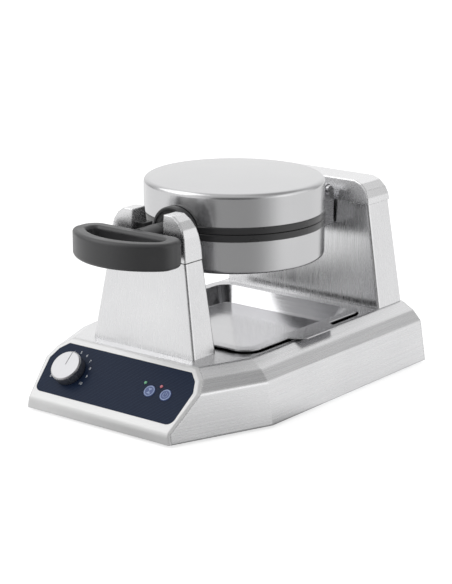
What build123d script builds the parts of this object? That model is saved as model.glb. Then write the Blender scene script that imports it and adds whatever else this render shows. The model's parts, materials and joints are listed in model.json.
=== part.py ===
from build123d import *
import os
from math import atan2, cos, degrees, hypot, radians, sin, sqrt

os.makedirs("parts", exist_ok=True)

# An ice cream panini press: a heated two-shell mould that hangs between two towers and turns over.
# X is across, Y runs from the front to the back, Z is up from the counter. All sizes in mm.

# Base
foot_height = 3
base_length = 417
base_width = 293
front_width = 202
facet_length = 117.6
base_height = 66.8
shoulder_height = 46.9
shoulder_inset = 7.6
bend_height = 58.2
bend_inset = 18.4
top_inset = 34.2
sheet = 2
bend_round = 6
gland_proud = 6

# Control panel
lip_height = 11.8
panel_top = 59.9
lip_round = 10
bezel_round = 2.5
bezel_thickness = 3
overlay_thickness = 0.6
overlay_width = front_width + 2
overlay_low = 10.7
overlay_top_margin = 6
panel_window_width = front_width - 18
dial_x = -64.5
dial_s = 42.5
knob_radius = 18.5
knob_height = 12
knob_gap = 0.5
knob_ribs = 40
spindle_radius = 3
start_x = 48.7
standby_x = 70.7
button_s = 42.7
button_radius = 7
button_proud = 0.8
green_x = 38
red_x = 60
lamp_s = 51.2
lamp_radius = 1.8
board_depth = 18
board_width = 170
board_length = 44
board_thickness = 1.6

# Towers
front_tower_y = 77.4
front_tower_depth = 37.5
front_rear_y = front_tower_y + front_tower_depth
front_tower_foot = 143.8
front_tower_top = 108.4
front_lean = 7.9
front_seam = 168.6
yoke_height = 217.3
yoke_lean = 3.1
yoke_rear_lean = 6
slot_width = 44.2
slot_floor = 171.5
rear_inset = 1.4
rear_tower_depth = 47.4
rear_tower_y = base_length - rear_inset - rear_tower_depth
rear_tower_foot = base_width - 2 * top_inset
rear_tower_top = rear_tower_foot - 43
rear_lean = 4.9
rear_seam = 187.1
cap_height = 212.9
cap_top_width = rear_tower_top - 45.6
cap_lean = 6
cap_proud = 1
tower_radius = 3
frame_plate = 4

# Turning mould
tower_span = rear_tower_y - front_rear_y
mould_front_room = 20.7
mould_rear_room = 27.8
mould_radius = (tower_span - mould_front_room - mould_rear_room) / 2
mould_y = front_rear_y + mould_front_room + mould_radius
ring_proud = 0.8
mould_bottom = 143.3
ring_bottom = 180
axis_height = 188
ring_top = 195.9
rim_height = 233
crown = 4.5
mould_edge = 5
rim_round = 6
shell_wall = 2
split_gap = 0.4
plate_thickness = 16
plate_clearance = 0.2
ring_width = 11
cavity_radius = mould_radius - 40.4
cavity_depth = 11
heater_radius = mould_radius - 34.4
heater_tube = 3.5

# Handle
shaft_radius = 13.5
cradle_gap = 0.3
flange_radius = 28
flange_front = front_rear_y + 12.1
grip_width = 134
grip_front = 10
grip_rear = 75
grip_bottom = 171
grip_top = 201
grip_bar = 16
grip_round = 4.5

# Hinge and pivot at the back
hinge_y = rear_tower_y - 12.2
hinge_height = 202
knuckle_radius = 7
pin_radius = 4
running_fit = 0.05
knuckle_gap = 0.3
hinge_width = 90
leaf_width = 56
bracket_plate = 4.8
pivot_radius = 12

# Drip tray
tray_side_margin = 7.3
tray_width = base_width - 2 * (top_inset + tray_side_margin)
tray_front = front_rear_y + 14.1
tray_length = tower_span - 33.3
tray_rim = base_height + 3.7
tray_depth = 20
tray_sheet = 1
tray_lip = 10
tray_taper = 11
tray_corner = 22
ear_reach = 17.5
ear_root = 82
ear_tip = 54

part_length = base_length + gland_proud


def station(distance):
    """The Y of a place this far behind the front edge of the base."""
    return distance - part_length / 2


def above(height):
    """The Z of a place this high over the bottom edge of the base."""
    return height + foot_height


def cross_plane(distance):
    """An upright plane facing the front, this far behind the front edge of the base."""
    return Plane((0, station(distance), 0), x_dir=(1, 0, 0), z_dir=(0, -1, 0))


def side_plane(x):
    """An upright plane facing right, whose local X runs to the back."""
    return Plane((x, 0, 0), x_dir=(0, 1, 0), z_dir=(1, 0, 0))


def save(part, name):
    part.label = name
    export_step(part, "parts/" + name + ".step")


def footprint(inset, front, rear):
    """The outline of the base in plan, drawn in along the sides, at the front and at the rear."""
    half = base_width / 2
    run = hypot(half - front_width / 2, facet_length)
    nx = facet_length / run
    ny = -(half - front_width / 2) / run
    reach = nx * front_width / 2 - inset
    front_x = (reach - ny * front) / nx
    side_x = half - inset
    side_y = (reach - nx * side_x) / ny
    rear_y = base_length - rear
    right = [(front_x, front), (side_x, side_y), (side_x, rear_y)]
    left = [(-x, y) for x, y in reversed(right)]
    return [(x, station(y)) for x, y in right + left]


def base_form(skin, rise=0):
    """The form of the base. With a skin it is the space inside a wall of that thickness."""
    levels = [(-rise, skin), (shoulder_height - skin, shoulder_inset + skin),
              (bend_height - skin, bend_inset + skin), (base_height - skin, top_inset + skin)]
    with BuildPart() as form:
        for height, inset in levels:
            with BuildSketch(Plane.XY.offset(above(height))):
                with BuildLine():
                    Polyline(footprint(inset, skin, skin), close=True)
                make_face()
        loft(ruled=True)
    return form.part


def level_edges(form, lowest):
    """The level edges above a height that lie along the sides and facets, not in the end walls."""
    edges = form.edges().filter_by(lambda e: e.bounding_box().size.Z < 0.01 and e.center().Z > above(lowest))
    return edges.filter_by(lambda e: station(1) < e.center().Y < station(base_length - 1))


# Control panel plane: local X across, local Y up the slope from the top of the front lip
panel_angle = degrees(atan2(base_height - lip_height, panel_top))
panel_plane = Plane(
    (0, station(0), above(lip_height)),
    x_dir=(1, 0, 0),
    z_dir=(0, -sin(radians(panel_angle)), cos(radians(panel_angle))),
)
panel_length = hypot(base_height - lip_height, panel_top)
overlay_high = panel_length - overlay_top_margin
panel_middle = (overlay_low + overlay_high) / 2
button_spots = [(start_x, button_s), (standby_x, button_s)]
lamp_spots = [(green_x, lamp_s), (red_x, lamp_s)]


def panel(height):
    """A plane over the control panel's face, or under it for a height below zero."""
    return panel_plane.offset(height)


# Opening for the tray well
well_clearance = 2
well_width = tray_width + 2 * well_clearance
well_length = tray_length + 2 * well_clearance
well_middle = station(tray_front + tray_length / 2)
well_corner = tray_corner + well_clearance

# Places of the fasteners and feet
screw_radius = 1.5
screw_head = 3
foot_radius = 11
foot_side = base_width / 2 - 34.5
foot_front = front_width / 2 - 17
foot_spots = [(x, station(y)) for x in (-foot_side, foot_side) for y in (facet_length + 10.4, base_length - 22)]
foot_spots += [(x, station(22)) for x in (-foot_front, foot_front)]
cover_side = base_width / 2 - 8.5
cover_first = facet_length + 32.4
cover_last = base_length - 47
cover_spots = [(x, station(y)) for x in (-cover_side, cover_side)
               for y in (cover_first, (cover_first + cover_last) / 2, cover_last)]
cover_spots += [(x, station(y)) for x in (-60, 60) for y in (8, base_length - 8)]
cover_thickness = 1.5
flange_width = 14
flange_thickness = 1.5
cover_margin = 2.5
tower_hole = 30
front_frame_y = front_tower_y + 20.6
rear_frame_y = rear_tower_y + 29.8
tower_hole_y = (front_frame_y + 2, rear_frame_y + 2)
gland_x = -85
gland_height = 30
gland_bore = 4.2
gland_body = 9
gland_clearance = 0.1
button_clearance = 0.25
lamp_clearance = 0.2

# Outer form of the base, with its bends, the bend over the front lip and the bezel's edges rounded
with BuildPart() as outer_form:
    add(base_form(0))
    fillet(level_edges(outer_form, shoulder_height - 1), bend_round)
    split(bisect_by=panel(0), keep=Keep.BOTTOM)
    lip_bend = outer_form.edges().filter_by(Axis.X).filter_by(
        lambda e: abs(e.center().Y - station(0)) < 0.1 and e.center().Z > above(1))
    fillet(lip_bend, lip_round)
    panel_face = outer_form.faces().sort_by(Axis((0, 0, 0), panel_plane.z_dir))[-1]
    bezel_rims = [e for e in panel_face.edges() if e.center().Z > above(2 * lip_height)]
    bezel_rims += outer_form.edges().filter_by(
        lambda e: e.bounding_box().size.Z > 2 and e.center().Z < above(2 * lip_height)
        and e.center().Y < station(lip_height))
    fillet(bezel_rims, bezel_round)

# Base housing: one brushed shell, open below, with a return flange for the bottom cover
housing_form = outer_form.part.split(panel(-bezel_thickness), keep=Keep.BOTTOM)
housing_form = housing_form.split(cross_plane(bezel_thickness), keep=Keep.BOTTOM)
inner_form = base_form(sheet, rise=1).split(panel(-bezel_thickness - sheet), keep=Keep.BOTTOM)
inner_form = inner_form.split(cross_plane(bezel_thickness + sheet), keep=Keep.BOTTOM)
with BuildSketch(Plane.XY.offset(above(cover_thickness))) as return_flange:
    with BuildLine():
        Polyline(footprint(sheet / 2, bezel_thickness + sheet / 2, sheet / 2), close=True)
    make_face()
    with BuildLine():
        Polyline(footprint(flange_width, flange_width, flange_width), close=True)
    make_face(mode=Mode.SUBTRACT)
with BuildPart() as base_housing:
    add(housing_form)
    add(inner_form, mode=Mode.SUBTRACT)
    extrude(return_flange.sketch, amount=flange_thickness)
    with BuildSketch(Plane.XY.offset(above(base_height + 1))):
        with Locations((0, well_middle)):
            RectangleRounded(well_width, well_length, well_corner)
    extrude(amount=-sheet - 2, mode=Mode.SUBTRACT)
    with BuildSketch(panel(0)):
        with Locations((0, panel_middle)):
            Rectangle(panel_window_width, overlay_high - overlay_low - 2)
    extrude(amount=-bezel_thickness - 2 * sheet, mode=Mode.SUBTRACT)
    with BuildSketch(Plane.XY.offset(above(base_height + 1))):
        with Locations(*[(0, station(y)) for y in tower_hole_y]):
            Circle(tower_hole / 2)
    extrude(amount=-sheet - 2, mode=Mode.SUBTRACT)
    with BuildSketch(cross_plane(base_length + 1)):
        with Locations((gland_x, above(gland_height))):
            Circle(gland_body + gland_clearance)
    extrude(amount=sheet + 2, mode=Mode.SUBTRACT)
    with Locations(*[Location((x, y, above(cover_thickness + flange_thickness))) for x, y in cover_spots]):
        Hole(screw_radius, depth=flange_thickness * 1.5)
save(base_housing.part, "base_housing")

# Bottom cover, with louvre slots and the holes for its screws and the feet
foot_hole = 2
vent_length = 60
vent_width = 4
with BuildPart() as bottom_cover:
    with BuildSketch(Plane.XY.offset(above(0))):
        with BuildLine():
            Polyline(footprint(cover_margin, bezel_thickness + cover_margin, cover_margin), close=True)
        make_face()
        with Locations(*cover_spots):
            Circle(screw_radius, mode=Mode.SUBTRACT)
        with Locations(*foot_spots):
            Circle(foot_hole, mode=Mode.SUBTRACT)
        for y in (front_rear_y, mould_y):
            with Locations((0, station(y))):
                with GridLocations(0, 3 * vent_width, 1, 5):
                    SlotOverall(vent_length, vent_width, mode=Mode.SUBTRACT)
    extrude(amount=cover_thickness)
save(bottom_cover.part, "bottom_cover")

# Screws of the bottom cover
cover_screw_length = 7
with BuildPart() as cover_screws:
    with Locations(*[Location((x, y, above(0))) for x, y in cover_spots]):
        Cylinder(screw_head, 1.2, align=(Align.CENTER, Align.CENTER, Align.MAX))
        Cylinder(screw_radius - 0.1, cover_screw_length, align=(Align.CENTER, Align.CENTER, Align.MIN))
save(cover_screws.part, "cover_screws")

# Rubber feet and their screws
foot_recess = 1.5
foot_screw_length = 8
with BuildPart() as rubber_feet:
    with Locations(*[Location((x, y, 0)) for x, y in foot_spots]):
        Cylinder(foot_radius, foot_height, align=(Align.CENTER, Align.CENTER, Align.MIN))
        Cylinder(foot_hole, foot_height, align=(Align.CENTER, Align.CENTER, Align.MIN), mode=Mode.SUBTRACT)
        Cylinder(2 * foot_hole, foot_recess, align=(Align.CENTER, Align.CENTER, Align.MIN), mode=Mode.SUBTRACT)
    fillet(rubber_feet.edges().group_by(Axis.Z)[0].filter_by(lambda e: e.radius > 3 * foot_hole), 0.8)
save(rubber_feet.part, "rubber_feet")
with BuildPart() as foot_screws:
    with Locations(*[Location((x, y, foot_recess)) for x, y in foot_spots]):
        Cylinder(1.7 * foot_hole, foot_recess - 0.4, align=(Align.CENTER, Align.CENTER, Align.MAX))
        Cylinder(foot_hole - 0.1, foot_screw_length, align=(Align.CENTER, Align.CENTER, Align.MIN))
save(foot_screws.part, "foot_screws")

# Sloping bezel of the control panel, with a shallow seat for the overlay
overlay_corner = 9
with BuildSketch(panel(0)) as overlay_shape:
    with BuildLine():
        half = overlay_width / 2
        corner = [(half - 5, overlay_low), (half, overlay_high - 22.7), (half - 5.4, overlay_high - 9.3),
                  (half - 15, overlay_high)]
        Polyline(corner + [(-x, y) for x, y in reversed(corner)], close=True)
    make_face()
    low_corners = overlay_shape.vertices().group_by(Axis.Y)[0]
    fillet(low_corners, overlay_corner)
with BuildPart() as control_bezel:
    add(outer_form.part)
    add(housing_form, mode=Mode.SUBTRACT)
    extrude(overlay_shape.sketch, amount=-overlay_thickness, mode=Mode.SUBTRACT)
    with BuildSketch(panel(0)):
        with Locations((dial_x, dial_s)):
            Circle(2 * spindle_radius)
        with Locations(*button_spots):
            Circle(button_radius + button_clearance)
        with Locations(*lamp_spots):
            Circle(lamp_radius + lamp_clearance)
    extrude(amount=-2 * bezel_thickness, mode=Mode.SUBTRACT)
save(control_bezel.part, "control_bezel")

# Printed overlay, flush in its seat
with BuildPart() as control_overlay:
    extrude(overlay_shape.sketch, amount=-overlay_thickness)
    with BuildSketch(panel(0)):
        with Locations((dial_x, dial_s)):
            Circle(spindle_radius + 1)
        with Locations(*button_spots):
            Circle(button_radius + button_clearance)
        with Locations(*lamp_spots):
            Circle(lamp_radius + lamp_clearance)
    extrude(amount=-2 * overlay_thickness, mode=Mode.SUBTRACT)
save(control_overlay.part, "control_overlay")

# Start and standby buttons, each held in by a collar under the bezel
collar_extra = 1.5
collar_thickness = 1
collar_gap = 0.05
for name, spot in zip(("start_button", "standby_button"), button_spots):
    with BuildPart() as button:
        with BuildSketch(panel(button_proud)):
            with Locations(spot):
                Circle(button_radius)
        extrude(amount=-button_proud - bezel_thickness - collar_gap)
        fillet(button.faces().sort_by(Axis((0, 0, 0), panel_plane.z_dir))[-1].edges(), 0.5)
        with BuildSketch(panel(-bezel_thickness - collar_gap)):
            with Locations(spot):
                Circle(button_radius + collar_extra)
        extrude(amount=-collar_thickness)
    save(button.part, name)

# Green and red signal lamps
lamp_proud = 0.4
lamp_flange = 1
for name, spot in zip(("green_lamp", "red_lamp"), lamp_spots):
    with BuildPart() as lamp:
        with BuildSketch(panel(lamp_proud)):
            with Locations(spot):
                Circle(lamp_radius)
        extrude(amount=-lamp_proud - bezel_thickness - collar_gap)
        with BuildSketch(panel(-bezel_thickness - collar_gap)):
            with Locations(spot):
                Circle(lamp_radius + lamp_flange)
        extrude(amount=-board_depth + bezel_thickness + collar_gap)
    save(lamp.part, name)

# Control board under the bezel, its switches and its four spacers
pot_side = 17
pot_height = 8
switch_side = 10
switch_gap = 1.2
button_bottom = -bezel_thickness - collar_gap - collar_thickness
spacer_radius = 2.5
spacer_spots = [(x, s) for x in (-board_width / 2 + 4, board_width / 2 - 4) for s in (24, 60)]
with BuildPart() as control_board:
    with BuildSketch(panel(-board_depth)):
        with Locations((0, panel_middle)):
            Rectangle(board_width, board_length)
        with Locations((dial_x, dial_s)):
            Circle(spindle_radius + 1, mode=Mode.SUBTRACT)
    extrude(amount=-board_thickness)
    with BuildSketch(panel(-board_depth)):
        with Locations(*button_spots):
            Rectangle(switch_side, switch_side)
    extrude(amount=board_depth + button_bottom - switch_gap)
    with BuildSketch(panel(-board_depth)):
        with Locations((-20, panel_middle), (8, panel_middle)):
            Rectangle(16, 12)
    extrude(amount=6)
save(control_board.part, "control_board")
with BuildPart() as board_spacers:
    with BuildSketch(panel(-bezel_thickness)):
        with Locations(*spacer_spots):
            Circle(spacer_radius)
    extrude(amount=-board_depth + bezel_thickness)
save(board_spacers.part, "board_spacers")

# Timer potentiometer: its body on the board and its bush round the spindle
with BuildPart() as timer_body:
    with BuildSketch(panel(-board_depth)):
        with Locations((dial_x, dial_s)):
            RectangleRounded(pot_side, pot_side, 2)
    extrude(amount=pot_height)
    with BuildSketch(panel(-board_depth)):
        with Locations((dial_x, dial_s)):
            Circle(spindle_radius + 2)
    extrude(amount=board_depth - overlay_thickness - 0.2)
    with BuildSketch(panel(0)):
        with Locations((dial_x, dial_s)):
            Circle(spindle_radius + running_fit)
    extrude(amount=-board_depth, mode=Mode.SUBTRACT)
save(timer_body.part, "timer_body")

# Timer spindle and the ribbed dial knob on it
spindle_end = knob_gap + knob_height - 3
rib_depth = 0.7
with BuildPart() as timer_spindle:
    with BuildSketch(panel(-board_depth + 1)):
        with Locations((dial_x, dial_s)):
            Circle(spindle_radius)
    extrude(amount=board_depth - 1 + spindle_end)
save(timer_spindle.part, "timer_spindle")
with BuildPart() as timer_knob:
    with BuildSketch(panel(knob_gap)):
        with Locations((dial_x, dial_s)):
            Circle(knob_radius)
            with PolarLocations(knob_radius, knob_ribs):
                Circle(rib_depth, mode=Mode.SUBTRACT)
    extrude(amount=knob_height - 1.5)
    with BuildSketch(panel(knob_gap + knob_height - 1.5)):
        with Locations((dial_x, dial_s)):
            Circle(knob_radius - rib_depth)
    extrude(amount=1.5)
    top_rim = timer_knob.faces().sort_by(Axis((0, 0, 0), panel_plane.z_dir))[-1].edges()
    chamfer(top_rim, 0.8)
    with BuildSketch(panel(knob_gap + knob_height)):
        with Locations((dial_x, dial_s + knob_radius / 2)):
            Rectangle(0.9, knob_radius - 2)
    extrude(amount=-0.4, mode=Mode.SUBTRACT)
    with BuildSketch(panel(knob_gap)):
        with Locations((dial_x, dial_s)):
            Circle(spindle_radius)
    extrude(amount=spindle_end - knob_gap, mode=Mode.SUBTRACT)
save(timer_knob.part, "timer_knob")


def tower_form(front, rear, foot, top, low, high, lean, skin=0):
    """A tapered tower with an upright back. A skin gives the space inside its walls."""
    with BuildPart() as form:
        for height, width, y in ((low, foot, front), (high, top, front + lean)):
            with BuildSketch(Plane.XY.offset(above(height))):
                with Locations((0, station((y + rear) / 2))):
                    Rectangle(width - 2 * skin, rear - y - 2 * skin)
        loft(ruled=True)
        if not skin:
            fillet(form.edges().filter_by(Plane.XY, reverse=True), tower_radius)
    return form.part


# Front tower: a brushed sheet column
front_form = tower_form(front_tower_y, front_rear_y, front_tower_foot, front_tower_top,
                        base_height, front_seam, front_lean)
front_hollow = tower_form(front_tower_y, front_rear_y, front_tower_foot, front_tower_top,
                          base_height, front_seam, front_lean, skin=sheet)
with BuildPart() as front_tower:
    add(front_form)
    add(front_hollow, mode=Mode.SUBTRACT)
save(front_tower.part, "front_tower")

# Front yoke: a casting with an open slot that the shaft lifts out of
yoke_front = front_tower_y + front_lean
yoke_half = [(front_tower_top / 2, front_seam), (51.3, 194.5), (48.6, 203.5), (43, 211.6),
             (35, yoke_height), (slot_width / 2, yoke_height)]
with BuildPart() as front_yoke:
    with BuildSketch(cross_plane(yoke_front)):
        with BuildLine():
            outline = [(x, above(z)) for x, z in yoke_half]
            Polyline(outline + [(-x, z) for x, z in reversed(outline)], close=True)
        make_face()
    extrude(amount=-(front_rear_y - yoke_front))
    with BuildSketch(cross_plane(yoke_front)):
        with Locations((0, above(slot_floor))):
            Rectangle(slot_width, yoke_height, align=(Align.CENTER, Align.MIN))
    extrude(amount=-front_tower_depth, mode=Mode.SUBTRACT)
    seat_edges = front_yoke.edges().filter_by(Axis.Y).filter_by(
        lambda e: abs(abs(e.center().X) - slot_width / 2) < 0.01 and e.center().Z < above(slot_floor) + 1)
    fillet(seat_edges, 6)
    with BuildSketch(side_plane(-front_tower_foot)):
        with BuildLine():
            Polyline(
                (station(yoke_front), above(front_seam)),
                (station(yoke_front + yoke_lean), above(yoke_height)),
                (station(front_rear_y - yoke_rear_lean), above(yoke_height)),
                (station(front_rear_y), above(slot_floor + 12)),
                (station(front_rear_y), above(front_seam)),
                close=True,
            )
        make_face()
    extrude(amount=2 * front_tower_foot, mode=Mode.INTERSECT)
    yoke_rims = front_yoke.edges().filter_by(lambda e: abs(e.center().X) > slot_width / 2 + 1)
    yoke_rims = yoke_rims.filter_by(lambda e: e.center().Z > above(front_seam) + 1)
    chamfer(yoke_rims.filter_by(Axis.Y, reverse=True).filter_by(Axis.X, reverse=True), 1.2)
save(front_yoke.part, "front_yoke")

# Black saddle in the rear half of the slot, on which the shaft turns
saddle_front = front_tower_y + 19.6
saddle_top = 201
saddle_fit = 0.1
with BuildPart() as yoke_saddle:
    with BuildSketch(cross_plane(saddle_front)):
        with Locations((0, above(slot_floor) + saddle_fit)):
            Rectangle(slot_width - 2 * saddle_fit, saddle_top - slot_floor, align=(Align.CENTER, Align.MIN))
        fillet(vertices().group_by(Axis.Y)[0], 6)
        with Locations((0, above(axis_height))):
            Circle(shaft_radius + cradle_gap, mode=Mode.SUBTRACT)
            Rectangle(2 * (shaft_radius + cradle_gap), saddle_top, align=(Align.CENTER, Align.MIN),
                      mode=Mode.SUBTRACT)
    extrude(amount=-(front_rear_y - 3 - saddle_front))
save(yoke_saddle.part, "yoke_saddle")

# Steel plates inside the towers that carry the yoke and the rear bearing
bearing_front = rear_frame_y - 14
bearing_height = 44
bearing_width = 56
with BuildPart() as front_frame:
    with BuildSketch(cross_plane(front_frame_y)):
        with Locations((0, above(cover_thickness))):
            Rectangle(tower_hole - 8, front_seam - cover_thickness, align=(Align.CENTER, Align.MIN))
    extrude(amount=-frame_plate)
save(front_frame.part, "front_frame")
with BuildPart() as rear_frame:
    with BuildSketch(cross_plane(rear_frame_y)):
        with Locations((0, above(cover_thickness))):
            Rectangle(tower_hole - 8, base_height + 2, align=(Align.CENTER, Align.MIN))
        with Locations((0, above(base_height + sheet))):
            Rectangle(bearing_width, axis_height + bearing_height / 2 - base_height - sheet - 2,
                      align=(Align.CENTER, Align.MIN))
        with Locations((0, above(axis_height))):
            Circle(pivot_radius + 1, mode=Mode.SUBTRACT)
    extrude(amount=-frame_plate)
save(rear_frame.part, "rear_frame")

# Rear bearing block, bolted to its plate
bearing_bolts = [(x, z) for x in (-20, 20) for z in (above(axis_height) - 14, above(axis_height) + 14)]
with BuildPart() as rear_bearing:
    with BuildSketch(cross_plane(bearing_front)):
        with Locations((0, above(axis_height))):
            RectangleRounded(bearing_width - 4, bearing_height - 4, 4)
            Circle(pivot_radius + running_fit, mode=Mode.SUBTRACT)
        with Locations(*bearing_bolts):
            Circle(2.6, mode=Mode.SUBTRACT)
    extrude(amount=-(rear_frame_y - bearing_front))
save(rear_bearing.part, "rear_bearing")
with BuildPart() as bearing_screws:
    with BuildSketch(cross_plane(bearing_front)):
        with Locations(*bearing_bolts):
            Circle(2.5)
    extrude(amount=-(rear_frame_y - bearing_front))
    with BuildSketch(cross_plane(bearing_front)):
        with Locations(*bearing_bolts):
            Circle(4.2)
    extrude(amount=2.5)
save(bearing_screws.part, "bearing_screws")

# Rear tower and its cap, with a hole for the pivot shaft on the seam between them
rear_wall_y = base_length - rear_inset
rear_form = tower_form(rear_tower_y, rear_wall_y, rear_tower_foot, rear_tower_top,
                       base_height, rear_seam, rear_lean)
rear_hollow = tower_form(rear_tower_y, rear_wall_y, rear_tower_foot, rear_tower_top,
                         base_height, rear_seam, rear_lean, skin=sheet)
pivot_clearance = 1
with BuildPart() as rear_tower:
    add(rear_form)
    add(rear_hollow, mode=Mode.SUBTRACT)
    with BuildSketch(cross_plane(rear_tower_y)):
        with Locations((0, above(axis_height))):
            Circle(pivot_radius + pivot_clearance)
    extrude(amount=-3 * rear_lean, mode=Mode.SUBTRACT)
save(rear_tower.part, "rear_tower")
cap_foot = rear_tower_top / 2 + cap_proud
cap_front = rear_tower_y + rear_lean - cap_proud
cap_rear = rear_wall_y + cap_proud
cap_half = [(cap_foot, rear_seam), (cap_foot - 1.5, 194), (cap_foot - 6, 202.3), (cap_foot - 14, 209.5),
            (cap_top_width / 2, cap_height)]
with BuildPart() as rear_cap:
    with BuildSketch(cross_plane(cap_front)):
        with BuildLine():
            outline = [(x, above(z)) for x, z in cap_half]
            Polyline(outline + [(-x, z) for x, z in reversed(outline)], close=True)
        make_face()
    extrude(amount=-(cap_rear - cap_front))
    with BuildSketch(side_plane(-base_width)):
        with BuildLine():
            Polyline(
                (station(cap_front), above(rear_seam)),
                (station(cap_front + cap_lean), above(cap_height)),
                (station(cap_rear), above(cap_height)),
                (station(cap_rear), above(rear_seam)),
                close=True,
            )
        make_face()
    extrude(amount=2 * base_width, mode=Mode.INTERSECT)
    cap_rims = rear_cap.edges().filter_by(Axis.Y, reverse=True)
    cap_rims = cap_rims.filter_by(lambda e: e.center().Z > above(rear_seam) + 0.5)
    fillet(cap_rims, 1.5)
    with BuildSketch(cross_plane(cap_front + cap_lean + sheet + 1)):
        with BuildLine():
            inside = [(x - sheet - 1, above(z) - sheet) for x, z in cap_half]
            inside[0] = (inside[0][0], above(rear_seam) - 1)
            Polyline(inside + [(-x, z) for x, z in reversed(inside)], close=True)
        make_face()
    extrude(amount=-(cap_rear - cap_front - cap_lean - 2 * sheet - 1), mode=Mode.SUBTRACT)
    with BuildSketch(cross_plane(cap_front - 1)):
        with Locations((0, above(axis_height))):
            Circle(pivot_radius + pivot_clearance)
    extrude(amount=-2 * cap_lean - sheet, mode=Mode.SUBTRACT)
save(rear_cap.part, "rear_cap")

# Tray well: a pressed pan hung under the opening of the base
well_floor = tray_rim - tray_depth
well_top = base_height - sheet
well_flange = 2
with BuildPart() as tray_well:
    with BuildSketch(Plane.XY.offset(above(well_top))):
        with Locations((0, well_middle)):
            RectangleRounded(well_width + 2 * well_flange, well_length + 2 * well_flange,
                             well_corner + well_flange)
    extrude(amount=-tray_sheet)
    with BuildSketch(Plane.XY.offset(above(well_top))):
        with Locations((0, well_middle)):
            RectangleRounded(well_width + 2 * tray_sheet, well_length + 2 * tray_sheet,
                             well_corner + tray_sheet)
    extrude(amount=-(well_top - well_floor + tray_sheet))
    with BuildSketch(Plane.XY.offset(above(well_floor))):
        with Locations((0, well_middle)):
            RectangleRounded(well_width, well_length, well_corner)
    extrude(amount=well_top, mode=Mode.SUBTRACT)
save(tray_well.part, "tray_well")

# Drip tray: a drawn pan with a wide rim and two ears to lift it by
tray_middle = station(tray_front + tray_length / 2)


def tray_loft(sizes):
    with BuildPart() as form:
        for height, drawn, corner in sizes:
            with BuildSketch(Plane.XY.offset(above(height))):
                with Locations((0, tray_middle)):
                    RectangleRounded(tray_width - 2 * drawn, tray_length - 2 * drawn, corner)
        loft()
    return form.part


tray_bottom = tray_rim - tray_depth
tray_outside = tray_loft([(tray_bottom, tray_lip + tray_taper, tray_corner - 8),
                          (tray_rim, tray_lip, tray_corner - 4)])
tray_inside = tray_loft([(tray_bottom + tray_sheet, tray_lip + tray_taper + tray_sheet, tray_corner - 9),
                         (tray_rim + 0.5, tray_lip + tray_sheet / 2, tray_corner - 5)])
with BuildPart() as drip_tray:
    add(tray_outside)
    with BuildSketch(Plane.XY.offset(above(tray_rim))):
        with Locations((0, tray_middle)):
            RectangleRounded(tray_width, tray_length, tray_corner)
        for side in (-1, 1):
            edge = side * (tray_width / 2 - 3)
            with BuildLine():
                Polyline(
                    (edge, tray_middle - ear_root / 2),
                    (edge + side * (ear_reach + 3), tray_middle - ear_tip / 2),
                    (edge + side * (ear_reach + 3), tray_middle + ear_tip / 2),
                    (edge, tray_middle + ear_root / 2),
                    close=True,
                )
            make_face()
    extrude(amount=-1.6)
    add(tray_inside, mode=Mode.SUBTRACT)
save(drip_tray.part, "drip_tray")

# Cord gland in the back of the base
with BuildPart() as cord_gland:
    with BuildSketch(cross_plane(base_length + gland_proud)):
        with Locations((gland_x, above(gland_height))):
            Circle(gland_body)
    extrude(amount=gland_proud + 4 * sheet)
    with BuildSketch(cross_plane(base_length)):
        with Locations((gland_x, above(gland_height))):
            Circle(gland_body + 3)
    extrude(amount=-2)
    chamfer(cord_gland.faces().sort_by(Axis.Y)[-1].edges(), 2)
    with BuildSketch(cross_plane(base_length + gland_proud)):
        with Locations((gland_x, above(gland_height))):
            Circle(gland_bore)
    extrude(amount=gland_proud + 4 * sheet, mode=Mode.SUBTRACT)
save(cord_gland.part, "cord_gland")

# Terminal block and power relay on the bottom cover
supply_y = station(base_length - 40)
terminal_length = 50
terminal_width = 18
terminal_height = 16
relay_x = 60
relay_length = 34
relay_width = 28
relay_height = 26
with BuildPart() as terminal_block:
    with BuildSketch(Plane.XY.offset(above(cover_thickness))):
        with Locations((gland_x + terminal_length / 2, supply_y)):
            Rectangle(terminal_length, terminal_width)
    extrude(amount=terminal_height)
save(terminal_block.part, "terminal_block")
with BuildPart() as power_relay:
    with BuildSketch(Plane.XY.offset(above(cover_thickness))):
        with Locations((relay_x, supply_y)):
            RectangleRounded(relay_length, relay_width, sheet)
    extrude(amount=relay_height)
save(power_relay.part, "power_relay")

# Turning mould: two drawn shells, their black rings and the cast plates inside
mould_plane = cross_plane(mould_y)
mould_axis = Axis((0, station(mould_y), 0), (0, 0, 1))
ring_radius = mould_radius + ring_proud
plate_radius = ring_radius - ring_width - plate_clearance
rim_radius = mould_radius - rim_round


def crown_at(x, drop=0):
    """Height of the crowned lid at a distance x from its middle."""
    sphere = (rim_radius**2 + crown**2) / (2 * crown)
    return above(rim_height + crown - drop) - sphere + sqrt(sphere**2 - x**2)


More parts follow.
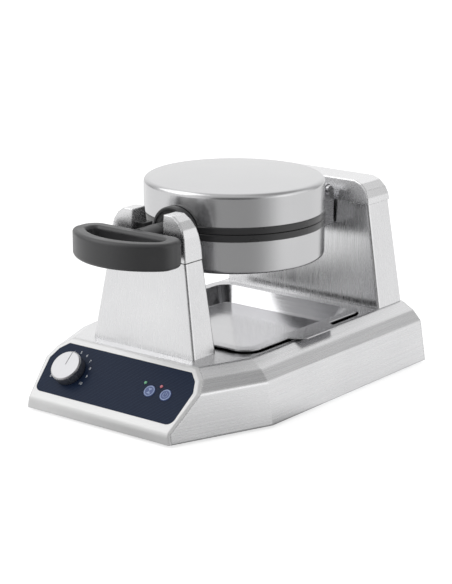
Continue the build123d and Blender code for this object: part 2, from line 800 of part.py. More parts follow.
with BuildPart() as upper_shell:
    with BuildSketch(mould_plane):
        with BuildLine():
            Line((0, crown_at(0, shell_wall)), (0, crown_at(0)))
            ThreePointArc((0, crown_at(0)), (rim_radius / 2, crown_at(rim_radius / 2)),
                          (rim_radius, crown_at(rim_radius)))
            ThreePointArc((rim_radius, above(rim_height)),
                          (rim_radius + rim_round * sin(radians(45)),
                           above(rim_height) - rim_round * (1 - cos(radians(45)))),
                          (mould_radius, above(rim_height) - rim_round))
            Line((mould_radius, above(rim_height) - rim_round), (mould_radius, above(ring_top)))
            Line((mould_radius, above(ring_top)), (mould_radius - shell_wall, above(ring_top)))
            Line((mould_radius - shell_wall, above(ring_top)),
                 (mould_radius - shell_wall, above(rim_height - 2 * shell_wall)))
            Line((mould_radius - shell_wall, above(rim_height - 2 * shell_wall)),
                 (rim_radius - shell_wall, crown_at(rim_radius - shell_wall, shell_wall)))
            ThreePointArc((rim_radius - shell_wall, crown_at(rim_radius - shell_wall, shell_wall)),
                          (rim_radius / 2, crown_at(rim_radius / 2, shell_wall)),
                          (0, crown_at(0, shell_wall)))
        make_face()
    revolve(axis=mould_axis)
save(upper_shell.part, "upper_shell")

with BuildPart() as lower_shell:
    with BuildSketch(Plane.XY.offset(above(mould_bottom))):
        with Locations((0, station(mould_y))):
            Circle(mould_radius)
    extrude(amount=ring_bottom - mould_bottom)
    fillet(lower_shell.edges().group_by(Axis.Z)[0], mould_edge)
    with BuildSketch(Plane.XY.offset(above(mould_bottom + shell_wall))):
        with Locations((0, station(mould_y))):
            Circle(mould_radius - shell_wall)
    extrude(amount=ring_bottom, mode=Mode.SUBTRACT)
save(lower_shell.part, "lower_shell")

for name, low, high in (("lower_ring", ring_bottom, axis_height - split_gap / 2),
                        ("upper_ring", axis_height + split_gap / 2, ring_top)):
    with BuildPart() as ring:
        with BuildSketch(Plane.XY.offset(above(low))):
            with Locations((0, station(mould_y))):
                Circle(ring_radius)
                Circle(ring_radius - ring_width, mode=Mode.SUBTRACT)
        extrude(amount=high - low)
        chamfer(ring.edges().filter_by(GeomType.CIRCLE).sort_by(SortBy.RADIUS)[-2:], 0.6)
    save(ring.part, name)

stud_radius = 3
stud_spots = [(30 * cos(radians(a)), station(mould_y) + 30 * sin(radians(a))) for a in (90, 210, 330)]
heater_gap = 0.05
sides = {
    "lower": (axis_height - split_gap / 2, -1, above(mould_bottom + shell_wall)),
    "upper": (axis_height + split_gap / 2, 1, crown_at(34, shell_wall)),
}
for side, (face, way, shell_face) in sides.items():
    back = above(face) + way * plate_thickness
    with BuildPart() as plate:
        with BuildSketch(Plane.XY.offset(above(face))):
            with Locations((0, station(mould_y))):
                Circle(plate_radius)
        extrude(amount=way * plate_thickness)
        with BuildSketch(Plane.XY.offset(above(face))):
            with Locations((0, station(mould_y))):
                Circle(cavity_radius)
        extrude(amount=way * cavity_depth, taper=22, mode=Mode.SUBTRACT)
    save(plate.part, side + "_plate")
    with BuildPart() as heater:
        with Locations(Location((0, station(mould_y), back + way * (heater_tube + heater_gap)))):
            Torus(heater_radius, heater_tube)
    save(heater.part, side + "_heater")
    with BuildPart() as thermostat:
        with BuildSketch(Plane.XY.offset(back)):
            with Locations((0, station(mould_y))):
                Circle(9)
        extrude(amount=way * 7)
    save(thermostat.part, side + "_thermostat")
    with BuildPart() as studs:
        with BuildSketch(Plane.XY.offset(back)):
            with Locations(*stud_spots):
                Circle(stud_radius)
        extrude(amount=shell_face - back - way * 0.1)
    save(studs.part, side + "_studs")

# Room taken by the mould and its rings, from which the parts round it are cut back
hug_gap = 0.3
with BuildPart() as mould_room:
    with BuildSketch(Plane.XY):
        with Locations((0, station(mould_y))):
            Circle(ring_radius + hug_gap)
    extrude(amount=above(rim_height + crown + 5))

# Hinge bracket: carried by the pivot shaft, it holds the lower shell and the outer knuckles
bracket_rear = rear_tower_y + 0.8
bracket_low = 160
bracket_top = 186.5
cheek_width = (hinge_width - leaf_width) / 2
hinge_center = (station(hinge_y), above(hinge_height))
plate_front = bracket_rear - bracket_plate
with BuildPart() as hinge_bracket:
    with BuildSketch(side_plane(-hinge_width / 2)):
        with BuildLine():
            Polyline(
                (station(mould_y + mould_radius - 12), above(bracket_low)),
                (station(bracket_rear), above(bracket_low)),
                (station(bracket_rear), above(bracket_top)),
                (station(mould_y + mould_radius - 12), above(bracket_top)),
                close=True,
            )
        make_face()
    extrude(amount=hinge_width)
    with BuildSketch(cross_plane(plate_front)):
        with Locations((0, above(axis_height))):
            Circle(pivot_radius + 4)
    extrude(amount=-bracket_plate)
    add(mould_room.part, mode=Mode.SUBTRACT)
    for x in (-hinge_width / 2, leaf_width / 2):
        with BuildSketch(side_plane(x)):
            with BuildLine():
                Polyline(
                    (hinge_center[0] - knuckle_radius, above(bracket_top - 4)),
                    (station(bracket_rear), above(bracket_top - 4)),
                    (station(bracket_rear), hinge_center[1]),
                    (hinge_center[0] - knuckle_radius, hinge_center[1]),
                    close=True,
                )
            make_face()
            with Locations(hinge_center):
                Circle(knuckle_radius)
                Circle(pin_radius + running_fit, mode=Mode.SUBTRACT)
        extrude(amount=cheek_width)
save(hinge_bracket.part, "hinge_bracket")

# Hinge leaf on the back of the upper shell, between the outer knuckles
leaf_low = hinge_height - knuckle_radius
with BuildPart() as hinge_leaf:
    with BuildSketch(side_plane(-leaf_width / 2 + knuckle_gap)):
        with BuildLine():
            Polyline(
                (station(mould_y + mould_radius - 12), above(leaf_low)),
                (hinge_center[0], above(leaf_low)),
                (hinge_center[0], hinge_center[1] + knuckle_radius),
                (station(mould_y + mould_radius - 12), above(hinge_height + 2 * knuckle_radius)),
                close=True,
            )
        make_face()
        with Locations(hinge_center):
            Circle(knuckle_radius)
            Circle(pin_radius, mode=Mode.SUBTRACT)
    extrude(amount=leaf_width - 2 * knuckle_gap)
    add(mould_room.part, mode=Mode.SUBTRACT)
save(hinge_leaf.part, "hinge_leaf")

# Hinge pin with a round head at each end
pin_head = 5.5
with BuildPart() as hinge_pin:
    with BuildSketch(side_plane(-hinge_width / 2 - knuckle_gap)):
        with Locations(hinge_center):
            Circle(pin_radius)
    extrude(amount=hinge_width + 2 * knuckle_gap)
    for x, way in ((-hinge_width / 2 - knuckle_gap, -1), (hinge_width / 2 + knuckle_gap, 1)):
        with BuildSketch(side_plane(x)):
            with Locations(hinge_center):
                Circle(pin_head)
        extrude(amount=way * 4)
save(hinge_pin.part, "hinge_pin")

# Pivot shaft from the bracket through the rear bearing, and the collar that keeps it there
collar_width = 8
pivot_end = rear_frame_y + frame_plate + knuckle_gap + collar_width + 1
with BuildPart() as pivot_shaft:
    with BuildSketch(cross_plane(bracket_rear)):
        with Locations((0, above(axis_height))):
            Circle(pivot_radius)
    extrude(amount=-(pivot_end - bracket_rear))
    chamfer(pivot_shaft.faces().sort_by(Axis.Y)[-1].edges(), 0.6)
save(pivot_shaft.part, "pivot_shaft")
with BuildPart() as pivot_collar:
    with BuildSketch(cross_plane(rear_frame_y + frame_plate + knuckle_gap)):
        with Locations((0, above(axis_height))):
            Circle(pivot_radius + 6)
            Circle(pivot_radius, mode=Mode.SUBTRACT)
    extrude(amount=-collar_width)
save(pivot_collar.part, "pivot_collar")

# Handle: a flange against the mould, a sleeve through the yoke and a D-shaped grip
flange_lip = 4
with BuildPart() as handle_flange:
    with BuildSketch(cross_plane(flange_front)):
        with Locations((0, above(axis_height))):
            Circle(flange_radius)
    extrude(amount=-20)
    fillet(handle_flange.faces().sort_by(Axis.Y)[0].edges(), 2)
    with BuildSketch(cross_plane(flange_front)):
        with Locations((0, above(axis_height))):
            Circle(flange_radius - flange_lip)
            Circle(flange_radius - 2 * flange_lip, mode=Mode.SUBTRACT)
    extrude(amount=-1, mode=Mode.SUBTRACT)
    add(mould_room.part, mode=Mode.SUBTRACT)
save(handle_flange.part, "handle_flange")

sleeve_front = grip_rear - 2
rib_first = front_tower_y + 24.6
rib_last = flange_front - 2
rib_count = 9
with BuildPart() as handle_sleeve:
    with BuildSketch(cross_plane(sleeve_front)):
        with Locations((0, above(axis_height))):
            Circle(shaft_radius)
    extrude(amount=-(flange_front - sleeve_front))
    for i in range(rib_count):
        with BuildSketch(cross_plane(rib_first + i * (rib_last - rib_first) / (rib_count - 1))):
            with Locations((0, above(axis_height))):
                Circle(shaft_radius + 1)
                Circle(shaft_radius - 0.5, mode=Mode.SUBTRACT)
        extrude(amount=-0.8, mode=Mode.SUBTRACT)
save(handle_sleeve.part, "handle_sleeve")


grip_end_y = 42
grip_hole_end = 46


def grip_loop(drawn, end_y, corner):
    """The D of the grip in plan, drawn in from its outside."""
    half = grip_width / 2 - drawn
    front = station(grip_front + drawn)
    rear = station(grip_rear - drawn)
    with BuildSketch() as loop:
        with BuildLine():
            ThreePointArc((half, station(end_y)), (0, front), (-half, station(end_y)))
            Polyline((-half, station(end_y)), (-half, rear), (half, rear), (half, station(end_y)))
        make_face()
        fillet(loop.vertices(), corner)
    return loop.sketch


grip_outside = grip_loop(0, grip_end_y, 19)
grip_hole = grip_loop(grip_bar, grip_hole_end, 6)
with BuildPart() as handle_grip:
    with BuildSketch(Plane.XY.offset(above(grip_bottom))):
        add(grip_outside)
        add(grip_hole, mode=Mode.SUBTRACT)
    extrude(amount=grip_top - grip_bottom)
    level = handle_grip.edges().group_by(Axis.Z)
    fillet(level[0] + level[-1], grip_round)
    with BuildSketch(cross_plane(sleeve_front)):
        with Locations((0, above(axis_height))):
            Circle(shaft_radius)
    extrude(amount=-(grip_rear - sleeve_front + 1), mode=Mode.SUBTRACT)
save(handle_grip.part, "handle_grip")
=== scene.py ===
import json
from math import atan2, cos, pi, radians, sin

import bmesh
import bpy
from mathutils import Matrix, Vector


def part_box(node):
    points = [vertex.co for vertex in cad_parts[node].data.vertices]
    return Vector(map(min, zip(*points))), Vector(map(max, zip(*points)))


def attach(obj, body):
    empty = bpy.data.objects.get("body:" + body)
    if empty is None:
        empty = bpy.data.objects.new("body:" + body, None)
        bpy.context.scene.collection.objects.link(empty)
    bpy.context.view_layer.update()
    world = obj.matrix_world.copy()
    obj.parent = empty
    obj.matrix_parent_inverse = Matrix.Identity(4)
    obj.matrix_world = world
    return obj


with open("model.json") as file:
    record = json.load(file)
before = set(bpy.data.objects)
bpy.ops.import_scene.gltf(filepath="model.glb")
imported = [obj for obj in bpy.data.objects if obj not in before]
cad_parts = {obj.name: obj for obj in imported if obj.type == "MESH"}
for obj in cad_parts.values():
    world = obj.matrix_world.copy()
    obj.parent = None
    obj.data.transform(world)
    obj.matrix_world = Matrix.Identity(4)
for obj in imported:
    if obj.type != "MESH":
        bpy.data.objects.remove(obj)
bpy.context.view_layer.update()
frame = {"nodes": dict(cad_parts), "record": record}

nodes = frame["nodes"]
MM = 0.001
full_turn = 2 * pi

# Sizes of the press that the frame doesn't give by itself, in metres
lip_height = 11.8 * MM
panel_top = 59.9 * MM
button_radius = 7 * MM
button_proud = 0.8 * MM
tray_width = 210 * MM
tray_corner = 22 * MM

# The sloping control panel: x runs across it, y up its slope from the lip, z out of its face
bezel_low, bezel_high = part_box("control_bezel")
panel_rise = bezel_high.z - bezel_low.z - lip_height
panel_angle = atan2(panel_rise, panel_top)
lip_edge = (0, bezel_low.y, bezel_low.z + lip_height)
panel_frame = Matrix.Translation(lip_edge) @ Matrix.Rotation(panel_angle, 4, "X")


def at_panel(height):
    """The panel's frame, moved out from its face."""
    return panel_frame @ Matrix.Translation((0, 0, height))


def spot_on_panel(node):
    """The middle of a knob or button, in the panel's own x and y."""
    points = [panel_frame.inverted() @ vertex.co for vertex in nodes[node].data.vertices]
    return [(min(p[axis] for p in points) + max(p[axis] for p in points)) / 2 for axis in (0, 1)]


# Shader steps


def feed(tree, value, socket):
    """Links a socket to another one, or gives it a plain value."""
    if isinstance(value, bpy.types.NodeSocket):
        tree.links.new(value, socket)
    else:
        socket.default_value = value


def math_step(tree, operation, first, second):
    node = tree.nodes.new("ShaderNodeMath")
    node.operation = operation
    feed(tree, first, node.inputs[0])
    feed(tree, second, node.inputs[1])
    return node.outputs[0]


def vector_step(tree, operation, first, second=(0, 0, 0)):
    node = tree.nodes.new("ShaderNodeVectorMath")
    node.operation = operation
    feed(tree, first, node.inputs[0])
    feed(tree, second, node.inputs[1])
    return node.outputs["Value" if operation == "DOT_PRODUCT" else "Vector"]


def remap(tree, source, low, high, out_low=0.0, out_high=1.0, curve="LINEAR"):
    """Carries the range from low to high over to another range, and holds its ends."""
    node = tree.nodes.new("ShaderNodeMapRange")
    node.interpolation_type = curve
    feed(tree, source, node.inputs["Value"])
    for label, value in (("From Min", low), ("From Max", high), ("To Min", out_low), ("To Max", out_high)):
        node.inputs[label].default_value = value
    return node.outputs[0]


def facing(tree, vector, direction, low, high):
    """A soft mask that is one where the vector points along the direction."""
    aligned = vector_step(tree, "DOT_PRODUCT", vector, Vector(direction).normalized())
    return remap(tree, aligned, low, high, curve="SMOOTHSTEP")


def noise(tree, vector, scale, detail):
    node = tree.nodes.new("ShaderNodeTexNoise")
    feed(tree, vector, node.inputs["Vector"])
    feed(tree, scale, node.inputs["Scale"])
    feed(tree, detail, node.inputs["Detail"])
    return node.outputs[0]


def object_place(tree):
    return tree.nodes.new("ShaderNodeTexCoord").outputs["Object"]


def mix_colors(tree, factor, first, second):
    node = tree.nodes.new("ShaderNodeMix")
    node.data_type = "RGBA"
    feed(tree, factor, node.inputs["Factor"])
    feed(tree, (*first, 1), node.inputs["A"])
    feed(tree, (*second, 1), node.inputs["B"])
    return node.outputs["Result"]


# Shader groups that several finishes share


def new_group(name, inputs, outputs):
    group = bpy.data.node_groups.new(name, "ShaderNodeTree")
    for label, kind, value in inputs:
        socket = group.interface.new_socket(label, in_out="INPUT", socket_type=kind)
        socket.default_value = value
    for label in outputs:
        group.interface.new_socket(label, in_out="OUTPUT", socket_type="NodeSocketFloat")
    return group, group.nodes.new("NodeGroupInput").outputs, group.nodes.new("NodeGroupOutput").inputs


def make_grain_group(streak_detail=3.0, cloud_scale=14.0, cloud_detail=2.0):
    """Brushed metal: streaks that run along the axes where Stretch is small, and broad clouds."""
    inputs = [("Stretch", "NodeSocketVector", (1.0, 1.0, 1.0))]
    group, given, result = new_group("brushed_grain", inputs, ["Streaks", "Clouds"])
    place = object_place(group)
    stretched = vector_step(group, "MULTIPLY", place, given["Stretch"])
    feed(group, noise(group, stretched, 1.0, streak_detail), result["Streaks"])
    feed(group, noise(group, place, cloud_scale, cloud_detail), result["Clouds"])
    return group


def make_speckle_group(pebble_detail=1.0, patch_scale=30.0, patch_detail=3.0):
    """Moulded plastic and paint: a fine even pebble, and slow patches of handling shine."""
    inputs = [("Scale", "NodeSocketFloat", 900.0)]
    group, given, result = new_group("moulded_speckle", inputs, ["Pebble", "Patches"])
    place = object_place(group)
    feed(group, noise(group, place, given["Scale"], pebble_detail), result["Pebble"])
    feed(group, noise(group, place, patch_scale, patch_detail), result["Patches"])
    return group


grain_group = make_grain_group()
speckle_group = make_speckle_group()

# The part of a noise's range that is seen, and how much of a metal's colour its streaks decide
noise_low = 0.3
noise_high = 0.7
streak_share = 0.6


# Ways of making a finish


def start_material(name, **sockets):
    material = bpy.data.materials.new(name)
    material.use_nodes = True
    tree = material.node_tree
    shader = tree.nodes["Principled BSDF"].inputs
    for label, value in sockets.items():
        shader[label.replace("_", " ")].default_value = value
    return material, tree, shader


def place_group(tree, group, **values):
    node = tree.nodes.new("ShaderNodeGroup")
    node.node_tree = group
    for label, value in values.items():
        node.inputs[label].default_value = value
    return node.outputs


def round_edges(tree, radius, samples=6):
    """A normal that softens sharp edges by a radius."""
    bevel = tree.nodes.new("ShaderNodeBevel")
    bevel.samples = samples
    bevel.inputs["Radius"].default_value = radius
    return bevel.outputs[0]


def lay_bump(tree, normal, height, strength, depth=0.2 * MM):
    """The texture's height laid over a normal."""
    bump = tree.nodes.new("ShaderNodeBump")
    bump.inputs["Strength"].default_value = strength
    bump.inputs["Distance"].default_value = depth
    feed(tree, height, bump.inputs["Height"])
    feed(tree, normal, bump.inputs["Normal"])
    return bump.outputs[0]


def brushed_metal(name, light, dark, grain, rough, edge, bump=0.015):
    """Bare metal with a grain: a colour and a roughness that follow its scratches."""
    material, tree, shader = start_material(name, Metallic=1.0)
    texture = place_group(tree, grain_group, Stretch=grain)
    streaks = remap(tree, texture["Streaks"], noise_low, noise_high)
    clouds = remap(tree, texture["Clouds"], noise_low, noise_high)
    streak_part = math_step(tree, "MULTIPLY", streaks, streak_share)
    cloud_part = math_step(tree, "MULTIPLY", clouds, 1 - streak_share)
    tone = math_step(tree, "ADD", streak_part, cloud_part)
    feed(tree, mix_colors(tree, tone, dark, light), shader["Base Color"])
    feed(tree, remap(tree, streaks, 0.0, 1.0, *rough), shader["Roughness"])
    feed(tree, lay_bump(tree, round_edges(tree, edge), texture["Streaks"], bump), shader["Normal"])
    return material


def moulded(
    name, light, dark, rough=(0.35, 0.5), edge=0.8 * MM, pebble=900.0, bump=0.12, metallic=0.0, coat=0.0
):
    """Plastic, enamel, rubber and paint: a pebble in the surface and patches in its shine."""
    material, tree, shader = start_material(name, Metallic=metallic, Coat_Weight=coat)
    texture = place_group(tree, speckle_group, Scale=pebble)
    patches = remap(tree, texture["Patches"], noise_low, noise_high)
    feed(tree, mix_colors(tree, patches, dark, light), shader["Base Color"])
    feed(tree, remap(tree, patches, 0.0, 1.0, *rough), shader["Roughness"])
    feed(tree, lay_bump(tree, round_edges(tree, edge), texture["Pebble"], bump), shader["Normal"])
    return material


def lamp_lens(name, light, dark, pebble=500.0, edge=0.6 * MM):
    """A small coloured lens with a clear coat."""
    material, tree, shader = start_material(name, Coat_Weight=0.6, Coat_Roughness=0.08, Roughness=0.25)
    texture = place_group(tree, speckle_group, Scale=pebble)
    feed(tree, mix_colors(tree, texture["Patches"], dark, light), shader["Base Color"])
    feed(tree, round_edges(tree, edge), shader["Normal"])
    return material


def dotted_film(name, ground, dot, dots_per_metre=620, dot_middle=0.22, dot_rim=0.34, rough=(0.42, 0.34)):
    """Dark film printed with even rows of small dots, laid out along the panel's slope."""
    material, tree, shader = start_material(name, Specular_IOR_Level=0.12)
    rows = (dots_per_metre, dots_per_metre / cos(panel_angle), 0)
    cells = tree.nodes.new("ShaderNodeTexVoronoi")
    cells.voronoi_dimensions = "2D"
    cells.inputs["Scale"].default_value = 1.0
    cells.inputs["Randomness"].default_value = 0.0
    feed(tree, vector_step(tree, "MULTIPLY", object_place(tree), rows), cells.inputs["Vector"])
    printed = remap(tree, cells.outputs["Distance"], dot_middle, dot_rim, 1.0, 0.0)
    feed(tree, mix_colors(tree, printed, ground, dot), shader["Base Color"])
    feed(tree, remap(tree, printed, 0.0, 1.0, *rough), shader["Roughness"])
    feed(tree, round_edges(tree, 0.3 * MM), shader["Normal"])
    return material


# Metals: each grain says how many streaks a metre has along x, y and z, and runs where that is least
upright_grain = (620.0, 620.0, 9.0)
fine_upright_grain = (900.0, 900.0, 12.0)
level_grain = (9.0, 9.0, 620.0)
crosswise_grain = (9.0, 500.0, 500.0)
lengthwise_grain = (400.0, 60.0, 400.0)
dial_grain = (700.0, 20.0, 20.0)
even_grain = (260.0, 260.0, 260.0)
coarse_even_grain = (60.0, 60.0, 60.0)

housing_steel = brushed_metal(
    "housing_brushed_steel", light=(0.72, 0.72, 0.725), dark=(0.64, 0.64, 0.65),
    grain=level_grain, rough=(0.22, 0.32), edge=2.5 * MM,
)
tower_steel = brushed_metal(
    "tower_brushed_steel", light=(0.73, 0.73, 0.735), dark=(0.65, 0.65, 0.66),
    grain=upright_grain, rough=(0.22, 0.3), edge=1.2 * MM,
)
cast_satin = brushed_metal(
    "cast_satin_alloy", light=(0.74, 0.74, 0.745), dark=(0.7, 0.7, 0.71),
    grain=even_grain, rough=(0.25, 0.29), edge=2 * MM, bump=0.004,
)
shell_satin = brushed_metal(
    "mould_satin_alloy", light=(0.58, 0.58, 0.585), dark=(0.53, 0.53, 0.54),
    grain=fine_upright_grain, rough=(0.2, 0.27), edge=1.2 * MM,
)
tray_polish = brushed_metal(
    "tray_polished_steel", light=(0.53, 0.53, 0.54), dark=(0.47, 0.47, 0.48),
    grain=crosswise_grain, rough=(0.12, 0.18), edge=1 * MM, bump=0.006,
)
plain_steel = brushed_metal(
    "machined_steel", light=(0.62, 0.62, 0.63), dark=(0.48, 0.48, 0.5),
    grain=lengthwise_grain, rough=(0.22, 0.34), edge=0.6 * MM,
)
zinc_plate = brushed_metal(
    "zinc_plate", light=(0.6, 0.61, 0.63), dark=(0.48, 0.49, 0.51),
    grain=coarse_even_grain, rough=(0.4, 0.55), edge=0.6 * MM,
)
dial_metal = brushed_metal(
    "dial_satin_metal", light=(0.46, 0.46, 0.47), dark=(0.4, 0.4, 0.41),
    grain=dial_grain, rough=(0.3, 0.4), edge=0.4 * MM,
)
heater_oxide = moulded(
    "heater_oxide", light=(0.22, 0.2, 0.19), dark=(0.13, 0.12, 0.12), rough=(0.4, 0.6), metallic=1.0
)

# Paint, enamel, plastic and rubber
bezel_paint = moulded(
    "bezel_silver_white", light=(0.74, 0.74, 0.74), dark=(0.71, 0.71, 0.71),
    rough=(0.32, 0.42), edge=1 * MM, pebble=1400.0, bump=0.03, metallic=0.3,
)
ring_black = moulded(
    "ring_black_enamel", light=(0.03, 0.03, 0.032), dark=(0.018, 0.018, 0.019),
    rough=(0.25, 0.36), edge=0.6 * MM, pebble=700.0, bump=0.06, coat=0.2,
)
handle_charcoal = moulded(
    "handle_charcoal", light=(0.05, 0.05, 0.052), dark=(0.04, 0.04, 0.042),
    rough=(0.33, 0.44), edge=1.2 * MM, pebble=1300.0,
)
plate_coating = moulded(
    "plate_nonstick", light=(0.045, 0.045, 0.047), dark=(0.028, 0.028, 0.03),
    edge=1 * MM, pebble=1600.0, bump=0.2,
)
button_blue = moulded(
    "button_blue_film", light=(0.075, 0.115, 0.29), dark=(0.06, 0.095, 0.25),
    rough=(0.35, 0.45), edge=0.6 * MM, bump=0.05,
)
# Painted shade: the inside of the well under the drip tray is made near-black to stand in for the shade in
# that recess
well_shade_paint = moulded(
    "well_painted_shade", light=(0.02, 0.02, 0.02), dark=(0.012, 0.012, 0.012), rough=(0.5, 0.65)
)
foot_rubber = moulded(
    "foot_rubber", light=(0.03, 0.03, 0.03), dark=(0.02, 0.02, 0.02), rough=(0.65, 0.8)
)
circuit_green = moulded("circuit_green", light=(0.03, 0.2, 0.09), dark=(0.02, 0.13, 0.06))
black_plastic = moulded("black_plastic", light=(0.03, 0.03, 0.03), dark=(0.02, 0.02, 0.02))

# Film, lenses and inks of the control panel
navy_film = dotted_film("navy_film", ground=(0.004, 0.01, 0.03), dot=(0.022, 0.042, 0.09))
lamp_green = lamp_lens("lamp_green_lens", light=(0.04, 0.36, 0.15), dark=(0.02, 0.24, 0.09))
lamp_red = lamp_lens("lamp_red_lens", light=(0.5, 0.05, 0.1), dark=(0.34, 0.02, 0.05))
print_white = moulded(
    "print_white_ink", light=(0.68, 0.71, 0.76), dark=(0.6, 0.63, 0.68), rough=(0.4, 0.5)
)
print_sky = moulded(
    "print_sky_ink", light=(0.3, 0.38, 0.6), dark=(0.26, 0.34, 0.55), rough=(0.4, 0.5)
)

# Painted shadow: a dark line standing in for the shade in the seam under the cast yoke
seam_shadow_paint = moulded(
    "seam_painted_shadow", light=(0.06, 0.06, 0.06), dark=(0.03, 0.03, 0.03), rough=(0.5, 0.6)
)

# Which finish each slot of the record has, and the one piece whose grain runs another way
slot_finishes = {
    "brushed_steel_body": tower_steel,
    "cast_caps": cast_satin,
    "mould_shell": shell_satin,
    "panel_bezel": bezel_paint,
    "navy_overlay": navy_film,
    "black_ring": ring_black,
    "charcoal_handle": handle_charcoal,
    "cast_plate": plate_coating,
    "tray_steel": tray_polish,
    "well_black": well_shade_paint,
    "plain_steel": plain_steel,
    "frame_steel": zinc_plate,
    "foot_rubber": foot_rubber,
    "dial_metal": dial_metal,
    "button_blue": button_blue,
    "lamp_green": lamp_green,
    "lamp_red": lamp_red,
    "circuit_board": circuit_green,
    "black_plastic": black_plastic,
    "heater_steel": heater_oxide,
}
own_finishes = {"base_housing": housing_steel}


def finish_cad_nodes():
    for entry in frame["record"]["subparts"]:
        name = entry["node"]
        slots = nodes[name].data.materials
        slots.clear()
        slots.append(own_finishes.get(name, slot_finishes[entry["material_slot"]]))


finish_cad_nodes()


# Helpers for the pieces that are added to the frame


def add_to_scene(name, data):
    thing = bpy.data.objects.new(name, data)
    bpy.context.scene.collection.objects.link(thing)
    return thing


def add_mesh(name, maker, material):
    """Turns a bmesh into an object with a finish."""
    mesh = bpy.data.meshes.new(name)
    maker.to_mesh(mesh)
    maker.free()
    mesh.materials.append(material)
    return add_to_scene(name, mesh)


def fit_piece(piece, body):
    """Lets a piece ride on a body."""
    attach(piece, body)


def raised_shape(maker, outline, transform, depth):
    """A flat outline given thickness, its top face at height zero of the transform."""
    top = [maker.verts.new(transform @ Vector((x, y, 0))) for x, y in outline]
    low = [maker.verts.new(transform @ Vector((x, y, -depth))) for x, y in outline]
    maker.faces.new(top)
    maker.faces.new(low[::-1])
    for i in range(len(outline)):
        after = (i + 1) % len(outline)
        maker.faces.new((top[i], low[i], low[after], top[after]))


def ring_band(maker, spot, inner, outer, transform, depth, steps=64, gap=0.0):
    """A flat ring round a spot, with a gap of that angle on each side of straight up, or none."""
    closed = gap == 0
    rows = []
    for i in range(steps if closed else steps + 1):
        angle = gap + (full_turn - 2 * gap) * i / steps
        row = []
        for radius, height in ((outer, 0), (outer, -depth), (inner, -depth), (inner, 0)):
            point = Vector((spot[0] + radius * sin(angle), spot[1] + radius * cos(angle), height))
            row.append(maker.verts.new(transform @ point))
        rows.append(row)
    for i in range(steps):
        here, there = rows[i], rows[(i + 1) % len(rows)]
        for k in range(4):
            after = (k + 1) % 4
            maker.faces.new((here[k], there[k], there[after], here[after]))
    if not closed:
        maker.faces.new(rows[0][::-1])
        maker.faces.new(rows[-1])


# Printed dial: plain numbers round the knob, clockwise from 0
dial_count = 11
dial_sweep = radians(234)
number_radius = 24.6 * MM
number_size = 4.6 * MM
number_weight = 0.08 * MM
ink_depth = 0.05 * MM


def add_dial_numbers():
    dial_spot = spot_on_panel("timer_knob")
    for index in range(dial_count):
        angle = dial_sweep * (index / (dial_count - 1) - 0.5)
        text = bpy.data.curves.new(f"dial_number_{index}", "FONT")
        text.body = str(index)
        text.size = number_size
        text.offset = number_weight
        text.extrude = ink_depth
        text.align_x = "CENTER"
        text.align_y = "CENTER"
        text.materials.append(print_white)
        number = add_to_scene(text.name, text)
        x = dial_spot[0] + number_radius * sin(angle)
        y = dial_spot[1] + number_radius * cos(angle)
        number.matrix_world = at_panel(ink_depth) @ Matrix.Translation((x, y, 0))
        fit_piece(number, "base")


add_dial_numbers()


# Button prints: a pale ring near each button's edge, and a plain symbol inside it
print_depth = 0.1 * MM
print_lift = 0.06 * MM
ring_outer = button_radius - 0.6 * MM
ring_inner = button_radius - 1.8 * MM


def draw_hourglass(maker, spot, transform):
    """Two triangles that meet at their points, each with a short straight foot."""
    half = 2.4 * MM
    tall = 3.4 * MM
    foot = 0.5 * MM
    x, y = spot
    for way in (-1, 1):
        end = y + way * tall
        neck = end - way * foot
        points = [(x - half, end), (x + half, end), (x + half, neck), (x, y), (x - half, neck)]
        outline = points if way < 0 else points[::-1]
        raised_shape(maker, outline, transform, print_depth)


def draw_power(maker, spot, transform):
    """A ring that is open at the top, and a bar through the opening."""
    inner = 2.5 * MM
    outer = 3.2 * MM
    half = 0.4 * MM
    x, y = spot
    low = y + 0.4 * MM
    high = y + 3.9 * MM
    ring_band(maker, spot, inner, outer, transform, print_depth, steps=40, gap=radians(38))
    bar = [(x - half, low), (x + half, low), (x + half, high), (x - half, high)]
    raised_shape(maker, bar, transform, print_depth)


def add_button_print(name, button, draw_symbol):
    maker = bmesh.new()
    spot = spot_on_panel(button)
    print_face = at_panel(button_proud + print_lift)
    ring_band(maker, spot, ring_inner, ring_outer, print_face, print_depth)
    draw_symbol(maker, spot, print_face)
    fit_piece(add_mesh(name, maker, print_sky), button)


add_button_print("start_symbol", "start_button", draw_hourglass)
add_button_print("standby_symbol", "standby_button", draw_power)


# Painted shadow: a dark strip standing in for the shade in the seam where the cast yoke sits on the front
# tower, laid round the tower's top rim
seam_thickness = 0.5 * MM
seam_proud = 0.08 * MM
rim_band = 2.5 * MM


def add_front_seam():
    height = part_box("front_tower")[1].z
    rim = [v.co for v in nodes["front_tower"].data.vertices if height - v.co.z < rim_band]
    x = max(p.x for p in rim) + seam_proud
    front = min(p.y for p in rim) - seam_proud
    rear = max(p.y for p in rim) + seam_proud
    maker = bmesh.new()
    top_face = Matrix.Translation((0, 0, height + seam_thickness / 2))
    raised_shape(maker, [(-x, front), (x, front), (x, rear), (-x, rear)], top_face, seam_thickness)
    fit_piece(add_mesh("front_seam", maker, seam_shadow_paint), "base")


add_front_seam()


# Rolled bead round the rim of the drip tray, inside its carrying ears
bead_radius = 1.5 * MM
bead_corner_steps = 10
bead_round_steps = 4


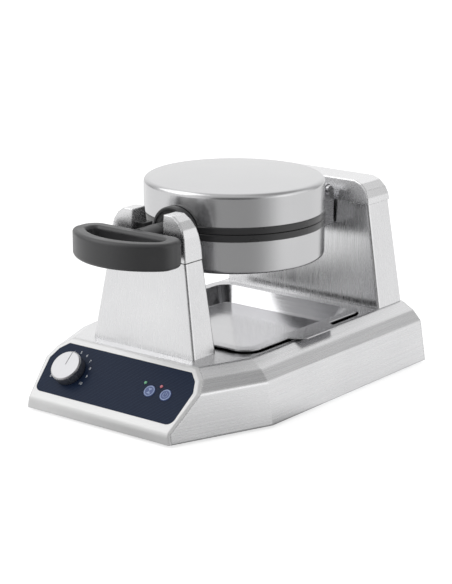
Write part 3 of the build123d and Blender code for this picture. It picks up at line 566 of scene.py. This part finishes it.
def add_tray_bead():
    low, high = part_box("drip_tray")
    middle_x = tray_width / 2 - tray_corner
    rear_y = high.y - tray_corner
    front_y = low.y + tray_corner
    reach = tray_corner - bead_radius
    corners = ((middle_x, rear_y), (-middle_x, rear_y), (-middle_x, front_y), (middle_x, front_y))
    points = []
    for quarter, (x, y) in enumerate(corners):
        for i in range(bead_corner_steps + 1):
            angle = pi / 2 * (quarter + i / bead_corner_steps)
            points.append((x + reach * cos(angle), y + reach * sin(angle), high.z - bead_radius, 1))
    curve = bpy.data.curves.new("tray_rim_bead", "CURVE")
    curve.dimensions = "3D"
    curve.bevel_depth = bead_radius
    curve.bevel_resolution = bead_round_steps
    curve.materials.append(tray_polish)
    rim = curve.splines.new("POLY")
    rim.points.add(len(points) - 1)
    for point, place in zip(rim.points, points):
        point.co = place
    rim.use_cyclic_u = True
    fit_piece(add_to_scene("tray_rim_bead", curve), "drip_tray")


add_tray_bead()


# Floor: pale, lit up to white for the camera, and dimmer toward the viewer in what metal mirrors of it
floor_half = 6.0
floor_color = (0.5, 0.5, 0.5, 1)
floor_seen = 0.72
floor_mirrored = 0.6
viewer_side = (0.62, -0.78, 0.0)
viewer_side_from = 0.45
viewer_side_full = 0.95
white = (1, 1, 1, 1)


def make_floor_paint():
    material, tree, shader = start_material("floor_pale", Roughness=0.9, Specular_IOR_Level=0.1)
    shader["Base Color"].default_value = floor_color
    outward = vector_step(tree, "NORMALIZE", object_place(tree))
    near_viewer = facing(tree, outward, viewer_side, viewer_side_from, viewer_side_full)
    mirrored = remap(tree, near_viewer, 0.0, 1.0, floor_mirrored, 0.0)
    ray = tree.nodes.new("ShaderNodeLightPath").outputs
    seen_glow = math_step(tree, "MULTIPLY", ray["Is Camera Ray"], floor_seen)
    mirrored_glow = math_step(tree, "MULTIPLY", ray["Is Glossy Ray"], mirrored)
    shader["Emission Color"].default_value = white
    feed(tree, math_step(tree, "ADD", seen_glow, mirrored_glow), shader["Emission Strength"])
    return material


def make_floor():
    maker = bmesh.new()
    corners = ((-1, -1), (1, -1), (1, 1), (-1, 1))
    maker.faces.new([maker.verts.new((x * floor_half, y * floor_half, 0)) for x, y in corners])
    add_mesh("floor", maker, make_floor_paint())


make_floor()


# One large soft lamp, high up on the viewer's left
lamp_place = (-2.0, -1.4, 2.6)
lamp_target = (0, 0, 0.1)
lamp_size = 2.8
lamp_watts = 34


def add_key_lamp():
    light = bpy.data.lights.new("key_softbox", "AREA")
    light.shape = "SQUARE"
    light.size = lamp_size
    light.energy = lamp_watts
    lamp = add_to_scene("key_softbox", light)
    lamp.location = lamp_place
    lamp.rotation_euler = (Vector(lamp_target) - Vector(lamp_place)).to_track_quat("-Z", "Y").to_euler()


add_key_lamp()


# The studio round the press: an even level that rises overhead, and soft pools of more or less light.
# A pool is a direction, the cosines off it at which its soft edge starts and ends, and what it adds.
studio_level = 0.42
studio_overhead = 0.3
overhead_from = 0.9
darkest = 0.02
left_of_viewer = ((-0.6, -0.79, 0.02), 0.55, 0.98, 0.6)
right_of_viewer = ((0.86, 0.51, 0.0), 0.74, 0.96, 0.72)
near_right = ((0.99, 0.05, 0.08), 0.86, 0.99, 0.4)
behind_press = ((-0.55, 0.75, 0.3), 0.5, 0.97, 0.58)
behind_viewer = ((0.6, -0.78, 0.05), 0.72, 0.97, -0.36)
above_press = ((0.42, 0.3, 0.86), 0.86, 0.99, -0.25)
studio_pools = (left_of_viewer, right_of_viewer, near_right, behind_press, behind_viewer, above_press)


def make_studio():
    world = bpy.data.worlds.new("studio")
    bpy.context.scene.world = world
    world.use_nodes = True
    tree = world.node_tree
    background = tree.nodes["Background"].inputs
    direction = tree.nodes.new("ShaderNodeTexCoord").outputs["Generated"]
    split = tree.nodes.new("ShaderNodeSeparateXYZ")
    feed(tree, direction, split.inputs[0])
    level = remap(tree, split.outputs["Z"], 0.0, overhead_from, studio_level, studio_level + studio_overhead)
    for toward, edge_start, edge_end, gain in studio_pools:
        pool = facing(tree, direction, toward, edge_start, edge_end)
        level = math_step(tree, "ADD", level, math_step(tree, "MULTIPLY", pool, gain))
    level = math_step(tree, "MAXIMUM", level, darkest)
    ray = tree.nodes.new("ShaderNodeLightPath").outputs
    background["Color"].default_value = white
    feed(tree, math_step(tree, "MAXIMUM", level, ray["Is Camera Ray"]), background["Strength"])


make_studio()


# Camera at the photograph's viewing angle: turned from straight ahead of the press, and tilted down
camera_place = (1.3040, -1.6371, 0.6795)
camera_turn = radians(38.344)
camera_tilt = radians(15.345)
camera_lens = 118.1
camera_sensor = 36


def add_camera():
    view = bpy.data.cameras.new("camera")
    view.sensor_width = camera_sensor
    view.lens = camera_lens
    camera = add_to_scene("camera", view)
    camera.location = camera_place
    camera.rotation_euler = (pi / 2 - camera_tilt, 0, camera_turn)
    bpy.context.scene.camera = camera


add_camera()
bpy.context.scene.view_settings.view_transform = "Standard"
